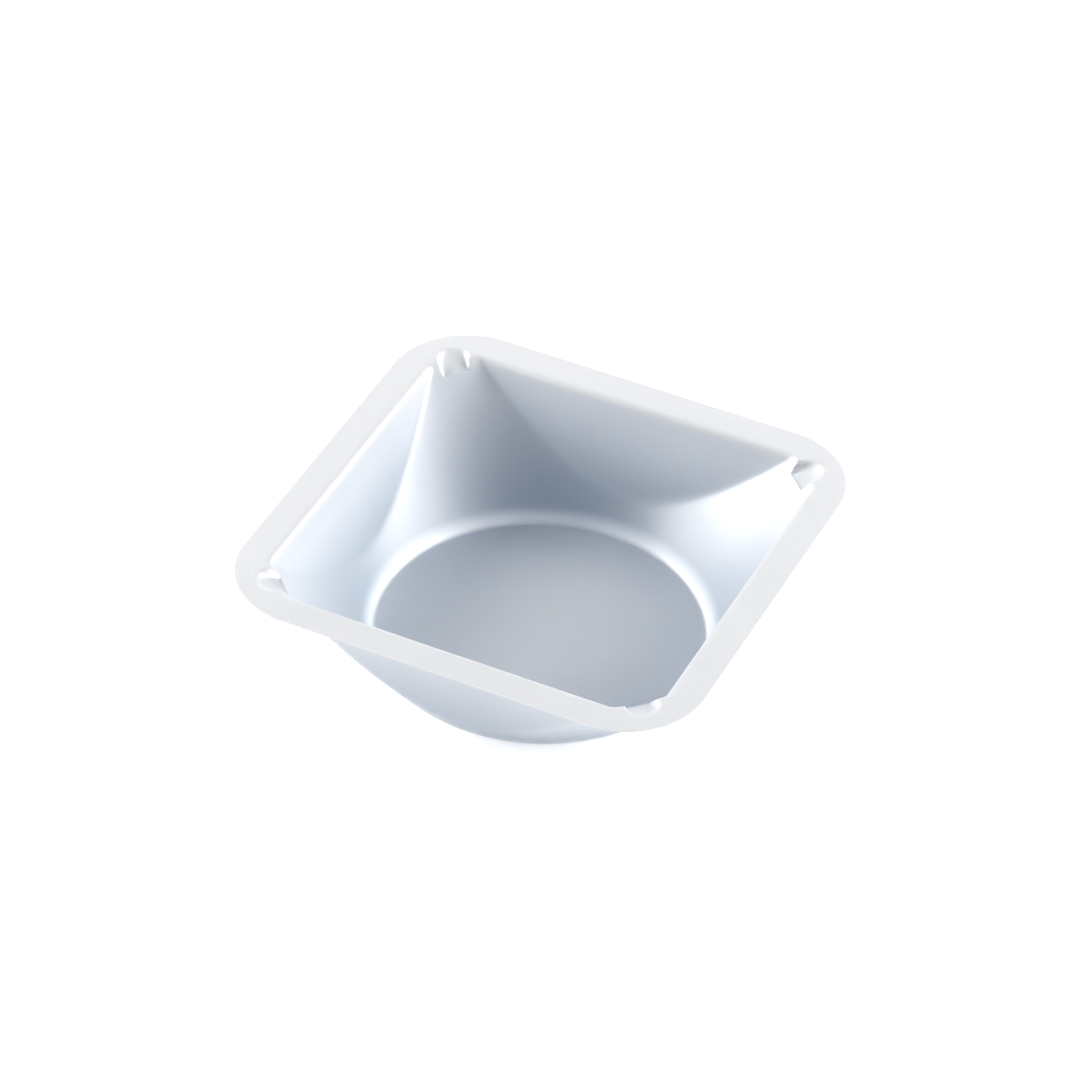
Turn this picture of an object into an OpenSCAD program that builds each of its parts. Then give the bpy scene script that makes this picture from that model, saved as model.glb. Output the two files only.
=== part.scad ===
// Square weighing boat: one thin plastic sheet formed over a mould.
// A round flat floor opens through a cone-shaped bowl into a square mouth.
// Four drafted flat walls cut the bowl, and each meets it in a curved crease.

/* [Flange] */
// Side of the square flange, over all
flange_w = 85; // [82:0.5:100]
// Radius of the flange's outer corners
flange_r = 14.5; // [8:0.5:16]

/* [Sheet] */
// Thickness of the formed sheet
sheet_t = 0.3; // [0.2:0.05:0.5]

/* [Cavity] */
// Height from the base to the top of the flange
boat_h = 24; // [18:0.5:30]
// Width of the mouth between facing walls, at the flange
mouth_w = 72.8; // [70:0.2:74]
// Draft of the four flat walls, from vertical
wall_draft = 9; // [5:0.5:12]
// Diameter of the flat round base, measured to the bowl
floor_d = 58; // [50:0.5:60]
// Slope of the bowl, from vertical
bowl_angle = 38; // [34:0.5:40]

/* [Bends] */
// Underside radius of the bend from the flange into the walls
rim_bend_r = 0.8; // [0.4:0.1:1.5]
// Inside radius of the bend around the floor
floor_bend_r = 1.2; // [0.5:0.1:3]

/* [Stacking lugs] */
// Width of each lug's pocket, and diameter of its round end
lug_w = 5; // [4:0.1:6]
// Distance from the boat's centre to a pocket's far end
lug_reach = 51; // [50:0.1:52]
// Depth of a pocket below the flange
lug_h = 2; // [1:0.1:3]

/* [Hidden] */
$fn = 96;
sheet_tint = [0.93, 0.94, 0.95];
over = 1;                                // how far cutting solids run past a face
bend_steps = 8;                          // flat steps around each bend of the sheet
mouth_half = mouth_w / 2;
floor_half = floor_d / 2;
plate_half = flange_w / 2;
corner_at = plate_half - flange_r;       // centre of a flange corner, along X and Y
bend_z = boat_h - sheet_t - rim_bend_r;  // height of the rim bend's centre
fillet_z = sheet_t + floor_bend_r;       // height of the floor bend's centre
lug_at = lug_reach - lug_w / 2;          // reach of the centre of a lug's round end

// Inner face of a wall that leans by lean: its distance from the centre at
// height z, where foot is that distance at z = 0.
function wall_at(foot, lean, z) = foot + z * tan(lean);

// Feet of the inner faces, at z = 0.
bowl_foot = floor_half - sheet_t / cos(bowl_angle);
wall_foot = mouth_half - boat_h * tan(wall_draft);

// Points along an arc about [x, z], from one angle to another.
function arc(x, z, r, from, to) =
    [for (i = [0:bend_steps]) let (a = from + (to - from) * i / bend_steps)
        [x + r * cos(a), z + r * sin(a)]];

// The last point of a line of points, moved on by one more step.
function run_on(line) = 2 * line[len(line) - 1] - line[len(line) - 2];

// The rim bend of a wall, from the wall up to the flange. Its centre lies
// outside the wall, and grow is 0 on the inner face and sheet_t on the outer.
function rim_bend(foot, lean, grow) =
    arc(wall_at(foot, lean, bend_z) + (rim_bend_r + sheet_t) / cos(lean), bend_z,
        rim_bend_r + sheet_t - grow, 180 - lean, 90);

// The bend around the floor, from the floor up to the bowl.
function floor_bend(grow) =
    arc(wall_at(bowl_foot, bowl_angle, fillet_z) - floor_bend_r / cos(bowl_angle), fillet_z,
        floor_bend_r + grow, -90, -bowl_angle);

// Half section of a form: up along its wall's points, through the rim bend's
// last step, and back to the middle. Inner forms end above the flange, and
// outer forms end inside it.
module half_section(low, wall, bend, grow) {
    top = grow > 0 ? boat_h - sheet_t / 2 : boat_h + over;
    end = run_on(bend);
    polygon(concat([[0, low]], wall, bend, [end, [end[0], top], [0, top]]));
}

// Two facing flat walls, drawn as one long trough along Y.
module trough(grow) {
    foot = [wall_at(wall_foot, wall_draft, -over) + grow / cos(wall_draft), -over];
    rotate([90, 0, 0]) linear_extrude(height = flange_w, center = true)
        for (side = [0, 1])
            mirror([side, 0])
                half_section(-over, [foot], rim_bend(wall_foot, wall_draft, grow), grow);
}

// The bowl with its flat floor.
module bowl(grow) {
    rotate_extrude()
        half_section(sheet_t - grow, floor_bend(grow), rim_bend(bowl_foot, bowl_angle, grow), grow);
}

// The bowl cut by the four flat walls.
module bowl_form(grow) {
    intersection() {
        bowl(grow);
        trough(grow);
        rotate([0, 0, 90]) trough(grow);
    }
}

// Outline of one lug, along +X from the bowl's hollow to its round end.
module lug_outline(grow) {
    translate([lug_at - lug_w, -lug_w / 2 - grow]) square([lug_w, lug_w + 2 * grow]);
    translate([lug_at, 0]) circle(lug_w / 2 + grow);
}

// The four lugs that keep stacked boats apart, on the diagonals.
module lug_forms(grow) {
    base_z = boat_h - lug_h - grow;
    top_z = grow > 0 ? boat_h - sheet_t / 2 : boat_h + over;
    for (quarter = [0:3])
        rotate([0, 0, 45 + 90 * quarter])
            translate([0, 0, base_z])
                linear_extrude(height = top_z - base_z) lug_outline(grow);
}

// The flat flange with rounded corners.
module flange_plate() {
    translate([0, 0, boat_h - sheet_t]) linear_extrude(height = sheet_t) {
        square([flange_w, 2 * corner_at], center = true);
        square([2 * corner_at, flange_w], center = true);
        for (sx = [-1, 1], sy = [-1, 1])
            translate([sx * corner_at, sy * corner_at]) circle(flange_r);
    }
}

module boat() {
    color(sheet_tint) difference() {
        union() {
            flange_plate();
            bowl_form(sheet_t);
            lug_forms(sheet_t);
        }
        bowl_form(0);
        lug_forms(0);
    }
}

boat();
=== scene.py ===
import bpy, bmesh, math
from mathutils import Matrix, Vector


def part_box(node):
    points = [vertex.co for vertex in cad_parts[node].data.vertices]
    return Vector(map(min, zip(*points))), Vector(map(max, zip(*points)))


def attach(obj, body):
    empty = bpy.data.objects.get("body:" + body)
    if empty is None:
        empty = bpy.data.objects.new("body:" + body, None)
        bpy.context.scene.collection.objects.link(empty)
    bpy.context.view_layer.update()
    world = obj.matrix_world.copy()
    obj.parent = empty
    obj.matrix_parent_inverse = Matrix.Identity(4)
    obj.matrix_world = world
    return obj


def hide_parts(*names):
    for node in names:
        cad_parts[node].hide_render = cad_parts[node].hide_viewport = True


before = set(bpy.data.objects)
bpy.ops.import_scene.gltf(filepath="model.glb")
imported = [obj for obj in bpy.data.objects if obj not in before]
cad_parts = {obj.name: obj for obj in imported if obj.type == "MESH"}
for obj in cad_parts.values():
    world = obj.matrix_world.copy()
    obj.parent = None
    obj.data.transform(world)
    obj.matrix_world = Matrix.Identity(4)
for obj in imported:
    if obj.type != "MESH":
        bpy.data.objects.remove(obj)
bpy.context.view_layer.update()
mm = 0.001


cameraSet = {
    "aim": (-0.0047, 0.0090, 0.0120),
    "azimuth": 24.26,      # degrees towards +X from straight in front
    "elevation": 39.89,
    "distance": 0.9068,
    "roll": 2.12,
    "lens": 175.6,
    "sensor": 36,
    "nearest": 0.01,       # nothing nearer than this is drawn
}


def buildCamera():
    turn = math.radians(cameraSet["azimuth"])
    rise = math.radians(cameraSet["elevation"])
    outward = Vector((math.sin(turn) * math.cos(rise), -math.cos(turn) * math.cos(rise), math.sin(rise)))
    data = bpy.data.cameras.new("camera")
    data.lens = cameraSet["lens"]
    data.sensor_width = cameraSet["sensor"]
    data.clip_start = cameraSet["nearest"]
    camera = bpy.data.objects.new("camera", data)
    bpy.context.scene.collection.objects.link(camera)
    camera.location = Vector(cameraSet["aim"]) + outward * cameraSet["distance"]
    facing = outward.to_track_quat("Z", "Y").to_matrix().to_4x4()
    lean = Matrix.Rotation(math.radians(cameraSet["roll"]), 4, "Z")
    camera.rotation_euler = (facing @ lean).to_euler()
    bpy.context.scene.camera = camera


buildCamera()
print("camera placed")

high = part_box("boat")[1]
boatSet = {
    "plateHalf": high.x / mm,    # half the flange's side
    "height": high.z / mm,
    "cornerRadius": 14.5,        # of the flange
    "sheet": 0.3,                # undrawn, at the flange
    "floorSheet": 0.18,          # drawn thin, at the floor
    "mouthHalf": 36.4,           # flat walls, carried up to the flange
    "wallDraft": 9,
    "floorHalf": 29,             # bowl, carried down to the base
    "bowlAngle": 38,
    "rimBend": 1.3,              # top-side radius from flange to wall
    "floorBend": 1.2,
    "creaseBlend": 0.6,          # how softly a flat wall runs into the bowl
    "lugRoot": 45.6,             # where a lug's floor begins, from the boat's centre
    "lugLength": 2.4,            # along the diagonal, up to its round end
    "lugHalf": 2.5,              # half its width, and radius of the end
    "lugTaper": 0.1,             # share of that width lost at its floor
    "lugDepth": 2.1,
    "lugCurve": 2,               # how upright the scoop's far end stands
    "lugBend": 0.7,              # radius of the edge where a scoop meets the flange
    "lugBlend": 2.4,             # how softly the scoop opens into the bowl
    "segments": 512,             # spokes of the sheet
    "gather": 0.16,              # how far the spokes gather towards the corners, in radians
    # rings of the sheet, from the middle outwards: how many, or at which shares of the way
    "floorRings": (0.35, 0.6, 0.8, 0.92, 0.98, 1),
    "floorBendRings": 7,
    "wallRings": 26,
    "lugFloorRings": 11,
    "lugFloorSpan": 0.4,         # height of those, each way from a lug's floor
    "lugWallRings": (0.35, 0.7, 1),
    "rimBendRings": 9,
    "flangeRings": (0.08, 0.25, 0.5, 0.75, 0.93, 0.985, 1),
}


def spreadAngle(angle):
    # gathers the sheet's spokes towards the four corners
    return angle + boatSet["gather"] * math.sin(4 * angle)


def drawnSheet(z):
    # thickness left after drawing, at one height
    s = boatSet
    return s["floorSheet"] + (s["sheet"] - s["floorSheet"]) * z / s["height"]


def leaningWall(foot, lean, z, bend):
    # distance from the centre of a leaning wall whose top bends out level with the flange
    s = boatSet
    slope = math.radians(lean)
    bendZ = s["height"] - bend
    if z <= bendZ + bend * math.sin(slope):
        return foot + z * math.tan(slope)
    middle = foot + bendZ * math.tan(slope) + bend / math.cos(slope)
    rise = min(z - bendZ, bend)
    return middle - math.sqrt(max(bend * bend - rise * rise, 0))


def bowlRadius(z):
    s = boatSet
    slope = math.radians(s["bowlAngle"])
    foot = s["floorHalf"] - s["floorSheet"] / math.cos(slope)
    filletZ = s["floorSheet"] + s["floorBend"]
    if z < filletZ - s["floorBend"] * math.sin(slope):
        middle = foot + filletZ * math.tan(slope) - s["floorBend"] / math.cos(slope)
        drop = min(filletZ - z, s["floorBend"])
        return middle + math.sqrt(max(s["floorBend"] ** 2 - drop * drop, 0))
    return leaningWall(foot, s["bowlAngle"], z, s["rimBend"])


def softMin(a, b, reach):
    mix = max(0, min(1, 0.5 + 0.5 * (b - a) / reach))
    return b + (a - b) * mix - reach * mix * (1 - mix)


def softMax(a, b, reach):
    return -softMin(-a, -b, reach)


def sectionReach(angle, z):
    # distance from the centre to the bowl and flat walls, in one direction at one height
    s = boatSet
    foot = s["mouthHalf"] - s["height"] * math.tan(math.radians(s["wallDraft"]))
    wall = leaningWall(foot, s["wallDraft"], z, s["rimBend"])
    reach = bowlRadius(z)
    for side in (abs(math.cos(angle)), abs(math.sin(angle))):
        if side > 0.3:    # met at a sharper slant, the wall lies far outside the bowl
            reach = softMin(reach, wall / side, s["creaseBlend"])
    return reach


def lugReach(angle, z):
    # distance from the centre to the far side of a lug's scoop, or 0 beside it
    s = boatSet
    low = max(0, s["height"] - z) / s["lugDepth"]
    scoop = 1 - min(low, 1) ** s["lugCurve"]
    flare = max(0, s["lugBend"] - (s["height"] - z))
    grown = s["lugBend"] - math.sqrt(max(s["lugBend"] ** 2 - flare ** 2, 0))
    off = abs((angle % (math.pi / 2)) - math.pi / 4)
    half = s["lugHalf"] * (1 - s["lugTaper"] * (1 - scoop)) + grown
    across = s["lugRoot"] * math.sin(off) / half
    if across >= 1:
        return 0
    return s["lugRoot"] * math.cos(off) + (s["lugLength"] + half * math.sqrt(1 - across ** 2)) * scoop


def mouthReach(angle, z, share=1):
    # the section with its lugs, of which only a share is cut where their floors begin
    section = sectionReach(angle, z)
    return section + (softMax(section, lugReach(angle, z), boatSet["lugBlend"]) - section) * share


def plateReach(angle):
    # distance from the centre to the flange's cut edge
    s = boatSet
    x, y = abs(math.cos(angle)), abs(math.sin(angle))
    straight = s["plateHalf"] / max(x, y)
    flat = s["plateHalf"] - s["cornerRadius"]
    if min(x, y) * straight <= flat:
        return straight
    along = flat * (x + y)
    return along + math.sqrt(along * along - 2 * flat * flat + s["cornerRadius"] ** 2)


def ringPlan():
    # each ring of the sheet: (function of the angle giving the reach, height)
    s = boatSet
    rings = []
    filletZ = s["floorSheet"] + s["floorBend"]
    floorEdge = bowlRadius(s["floorSheet"])
    for part in s["floorRings"]:
        rings.append((lambda a, r=floorEdge * part: r, s["floorSheet"]))
    for i in range(1, s["floorBendRings"] + 1):
        turn = math.radians(90 - s["bowlAngle"]) * i / s["floorBendRings"]
        z = filletZ - s["floorBend"] * math.cos(turn)
        rings.append((lambda a, z=z: sectionReach(a, z), z))
    lugFloor = s["height"] - s["lugDepth"]
    span = s["lugFloorSpan"]
    wallLow = rings[-1][1]
    wallHigh = lugFloor - span
    for i in range(1, s["wallRings"] + 1):
        z = wallLow + (wallHigh - wallLow) * i / s["wallRings"]
        rings.append((lambda a, z=z: sectionReach(a, z), z))
    for i in range(1, s["lugFloorRings"] + 1):
        part = i / s["lugFloorRings"]
        z = lugFloor + span * (2 * part - 1) ** 3
        share = (1 - math.cos(math.pi * part)) / 2
        rings.append((lambda a, z=z, share=share: mouthReach(a, z, share), z))
    bendZ = s["height"] - s["rimBend"]
    bendLow = bendZ + s["rimBend"] * math.sin(math.radians(s["wallDraft"]))
    for part in s["lugWallRings"]:
        z = lugFloor + span + (bendLow - lugFloor - span) * part
        rings.append((lambda a, z=z: mouthReach(a, z), z))
    for i in range(1, s["rimBendRings"] + 1):
        turn = math.radians(s["wallDraft"] + (90 - s["wallDraft"]) * i / s["rimBendRings"])
        z = bendZ + s["rimBend"] * math.sin(turn)
        rings.append((lambda a, z=z: mouthReach(a, z), z))
    mouth = rings[-1][0]
    for part in s["flangeRings"]:
        rings.append((lambda a, part=part: mouth(a) + (plateReach(a) - mouth(a)) * part, s["height"]))
    return rings


def buildBoat():
    s = boatSet
    rings = ringPlan()
    sheet = bmesh.new()
    start = rings[0][0](0)
    bmesh.ops.create_circle(sheet, cap_ends=True, cap_tris=True, segments=s["segments"], radius=start * mm)
    for vert in sheet.verts:
        reach = vert.co.xy.length
        angle = spreadAngle(math.atan2(vert.co.y, vert.co.x))
        vert.co = (reach * math.cos(angle), reach * math.sin(angle), rings[0][1] * mm)
    edges = [edge for edge in sheet.edges if edge.is_boundary]
    for reachAt, z in rings[1:]:
        grown = bmesh.ops.extrude_edge_only(sheet, edges=edges)["geom"]
        edges = [part for part in grown if isinstance(part, bmesh.types.BMEdge) and part.is_boundary]
        for vert in [part for part in grown if isinstance(part, bmesh.types.BMVert)]:
            angle = math.atan2(vert.co.y, vert.co.x)
            reach = reachAt(angle) * mm
            vert.co = (reach * math.cos(angle), reach * math.sin(angle), z * mm)
    bmesh.ops.recalc_face_normals(sheet, faces=sheet.faces)
    if sum(face.normal.z for face in sheet.faces) < 0:
        bmesh.ops.reverse_faces(sheet, faces=sheet.faces)
    drawn = sheet.verts.layers.deform.verify()
    for vert in sheet.verts:
        vert[drawn][0] = drawnSheet(vert.co.z / mm) / s["sheet"]
    for face in sheet.faces:
        face.smooth = True
    for edge in edges:
        edge.smooth = False
    mesh = bpy.data.meshes.new("boat_sheet")
    sheet.to_mesh(mesh)
    sheet.free()
    piece = bpy.data.objects.new("boat_sheet", mesh)
    bpy.context.scene.collection.objects.link(piece)
    piece.vertex_groups.new(name="drawn")
    thick = piece.modifiers.new("thickness", "SOLIDIFY")
    thick.thickness = s["sheet"] * mm
    thick.offset = -1
    thick.use_even_offset = True
    thick.vertex_group = "drawn"
    return piece


boat = buildBoat()
print("boat formed:", len(boat.data.polygons), "faces")


sheetFinish = {
    "flangeColour": (0.76, 0.77, 0.78, 1),
    "upperColour": (0.69, 0.725, 0.765, 1),    # of the walls, at the top, where their painted shade is lightest
    "shadedFootColour": (0.41, 0.475, 0.55, 1),     # and at their foot, where the sheet is drawn most: painted shade, darker and bluer
    "floorColour": (0.91, 0.93, 0.95, 1),
    "shadedEdgeColour": (0.72, 0.77, 0.83, 1),       # of the floor, at its edge: painted shade where the walls rise over it
    # from where to where each change of colour runs, in mm
    "floorRadii": (6, 28),
    "wallHeights": (1, 23),
    "footHeights": (0.6, 3),
    "rimHeights": (21.6, 23.4),
    "flangeRadii": (45.5, 49),
    "grainScale": 900,                         # a fine unevenness of the gloss
    "grainDetail": 3,
    "grainRange": (0.3, 0.7),                  # of the noise, spread over the two roughnesses
    "roughness": (0.38, 0.46),
    "flangeCoat": 0.25,                        # undrawn sheet is duller than the walls, which have 1
    "coatRoughness": 0.42,
    "coatIndex": 1.85,
    "index": 1.75,
    "scatter": 0.0004,                         # how far light runs inside the milky sheet
    "scatterReach": (1.2, 1.1, 1.0),           # of red, green and blue light
    "waveScale": 55,                           # the slight waviness of a thin formed sheet
    "waveDetail": 0.5,
    "waveHeight": 0.0009,
}


def milkySheet():
    f = sheetFinish
    material = bpy.data.materials.new("milky_sheet")
    material.use_nodes = True
    nodes, links = material.node_tree.nodes, material.node_tree.links
    shader = nodes["Principled BSDF"]
    place = nodes.new("ShaderNodeTexCoord")
    axes = nodes.new("ShaderNodeSeparateXYZ")
    links.new(place.outputs["Object"], axes.inputs["Vector"])
    flat = nodes.new("ShaderNodeCombineXYZ")
    links.new(axes.outputs["X"], flat.inputs["X"])
    links.new(axes.outputs["Y"], flat.inputs["Y"])
    radius = nodes.new("ShaderNodeVectorMath")
    radius.operation = "LENGTH"
    links.new(flat.outputs["Vector"], radius.inputs[0])

    def ramp(source, ends):
        # smoothly from 0 at the first end to 1 at the second
        step = nodes.new("ShaderNodeMapRange")
        step.interpolation_type = "SMOOTHSTEP"
        step.inputs["From Min"].default_value = ends[0] * mm
        step.inputs["From Max"].default_value = ends[1] * mm
        links.new(source, step.inputs["Value"])
        return step.outputs["Result"]

    def blend(share, first, second):
        mix = nodes.new("ShaderNodeMix")
        mix.data_type = "RGBA"
        links.new(share, mix.inputs["Factor"])
        for socket, colour in ((mix.inputs["A"], first), (mix.inputs["B"], second)):
            if isinstance(colour, tuple):
                socket.default_value = colour
            else:
                links.new(colour, socket)
        return mix.outputs["Result"]

    # painted shade: the floor darkens from its middle towards its edge
    floorShadeTone = blend(ramp(radius.outputs["Value"], f["floorRadii"]), f["floorColour"], f["shadedEdgeColour"])
    # painted shade: the walls are darker and bluer towards their foot, and lighter up to the flange
    wallShadeTone = blend(ramp(axes.outputs["Z"], f["wallHeights"]), f["shadedFootColour"], f["upperColour"])
    lowTone = blend(ramp(axes.outputs["Z"], f["footHeights"]), floorShadeTone, wallShadeTone)
    undrawn = nodes.new("ShaderNodeMath")
    undrawn.operation = "MAXIMUM"
    links.new(ramp(axes.outputs["Z"], f["rimHeights"]), undrawn.inputs[0])
    links.new(ramp(radius.outputs["Value"], f["flangeRadii"]), undrawn.inputs[1])
    tone = blend(undrawn.outputs["Value"], lowTone, f["flangeColour"])
    links.new(tone, shader.inputs["Base Color"])
    grain = nodes.new("ShaderNodeTexNoise")
    grain.inputs["Scale"].default_value = f["grainScale"]
    grain.inputs["Detail"].default_value = f["grainDetail"]
    links.new(place.outputs["Object"], grain.inputs["Vector"])
    dulling = nodes.new("ShaderNodeMapRange")
    dulling.inputs["From Min"].default_value = f["grainRange"][0]
    dulling.inputs["From Max"].default_value = f["grainRange"][1]
    dulling.inputs["To Min"].default_value = f["roughness"][0]
    dulling.inputs["To Max"].default_value = f["roughness"][1]
    links.new(grain.outputs["Fac"], dulling.inputs["Value"])
    links.new(dulling.outputs["Result"], shader.inputs["Roughness"])
    waves = nodes.new("ShaderNodeTexNoise")
    waves.inputs["Scale"].default_value = f["waveScale"]
    waves.inputs["Detail"].default_value = f["waveDetail"]
    links.new(place.outputs["Object"], waves.inputs["Vector"])
    ripple = nodes.new("ShaderNodeBump")
    ripple.inputs["Strength"].default_value = 1
    ripple.inputs["Distance"].default_value = f["waveHeight"]
    links.new(waves.outputs["Fac"], ripple.inputs["Height"])
    links.new(ripple.outputs["Normal"], shader.inputs["Normal"])
    shader.inputs["IOR"].default_value = f["index"]
    shader.inputs["Subsurface Weight"].default_value = 1
    shader.inputs["Subsurface Radius"].default_value = f["scatterReach"]
    shader.inputs["Subsurface Scale"].default_value = f["scatter"]
    polish = nodes.new("ShaderNodeMapRange")
    polish.inputs["To Min"].default_value = 1
    polish.inputs["To Max"].default_value = f["flangeCoat"]
    links.new(undrawn.outputs["Value"], polish.inputs["Value"])
    links.new(polish.outputs["Result"], shader.inputs["Coat Weight"])
    shader.inputs["Coat Roughness"].default_value = f["coatRoughness"]
    shader.inputs["Coat IOR"].default_value = f["coatIndex"]
    return material


boat.data.materials.append(milkySheet())
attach(boat, "root")
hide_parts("boat")
print("sheet material made")


floorSet = {
    "half": 1.5,
    "colour": (0.97, 0.97, 0.97, 1),
    "roughness": 0.9,
    "glow": 0.17,          # a faint glow, as of a white table on a bright set
    "cameraLift": 0.3,     # further glow that only the camera sees, so that the floor reads white
}


def buildFloor():
    plane = bmesh.new()
    bmesh.ops.create_grid(plane, x_segments=1, y_segments=1, size=floorSet["half"])
    mesh = bpy.data.meshes.new("floor")
    plane.to_mesh(mesh)
    plane.free()
    floor = bpy.data.objects.new("floor", mesh)
    bpy.context.scene.collection.objects.link(floor)
    material = bpy.data.materials.new("pale_floor")
    material.use_nodes = True
    nodes, links = material.node_tree.nodes, material.node_tree.links
    shader = nodes["Principled BSDF"]
    shader.inputs["Base Color"].default_value = floorSet["colour"]
    shader.inputs["Roughness"].default_value = floorSet["roughness"]
    shader.inputs["Emission Color"].default_value = (1, 1, 1, 1)
    sight = nodes.new("ShaderNodeLightPath")
    glow = nodes.new("ShaderNodeMath")
    glow.operation = "MULTIPLY_ADD"
    links.new(sight.outputs["Is Camera Ray"], glow.inputs[0])
    glow.inputs[1].default_value = floorSet["cameraLift"]
    glow.inputs[2].default_value = floorSet["glow"]
    links.new(glow.outputs["Value"], shader.inputs["Emission Strength"])
    mesh.materials.append(material)


lightSet = {
    # name: azimuth from +X, elevation, distance, width, height, power, colour
    "leftHigh": (172, 34, 0.6, 0.32, 0.3, 2.0, (1, 0.97, 0.93)),
    "leftLow": (203, 20, 0.6, 0.38, 0.36, 3.2, (1, 0.97, 0.93)),
    "rightHigh": (40, 34, 0.6, 0.32, 0.3, 2.0, (1, 0.99, 0.97)),
    "rightLow": (17, 22, 0.6, 0.42, 0.36, 2.8, (1, 0.97, 0.93)),
    "back": (110, 9, 0.6, 0.5, 0.16, 0.2, (0.95, 0.98, 1)),
}
skySet = {
    "colour": (0.2, 0.5, 1, 1),
    "strength": 0.11,
}


def buildLights():
    for name, (azimuth, elevation, distance, wide, tall, power, colour) in lightSet.items():
        data = bpy.data.lights.new(name, "AREA")
        data.shape = "RECTANGLE"
        data.size = wide
        data.size_y = tall
        data.energy = power
        data.color = colour
        lamp = bpy.data.objects.new(name, data)
        bpy.context.scene.collection.objects.link(lamp)
        turn, rise = math.radians(azimuth), math.radians(elevation)
        outward = Vector((math.cos(turn) * math.cos(rise), math.sin(turn) * math.cos(rise), math.sin(rise)))
        lamp.location = outward * distance
        lamp.rotation_euler = outward.to_track_quat("Z", "Y").to_euler()
    world = bpy.data.worlds.new("studio")
    bpy.context.scene.world = world
    world.use_nodes = True
    sky = world.node_tree.nodes["Background"]
    sky.inputs["Color"].default_value = skySet["colour"]
    sky.inputs["Strength"].default_value = skySet["strength"]
    bpy.context.scene.view_settings.view_transform = "Standard"


buildFloor()
print("floor laid")
buildLights()
print("lights set:", len(lightSet))
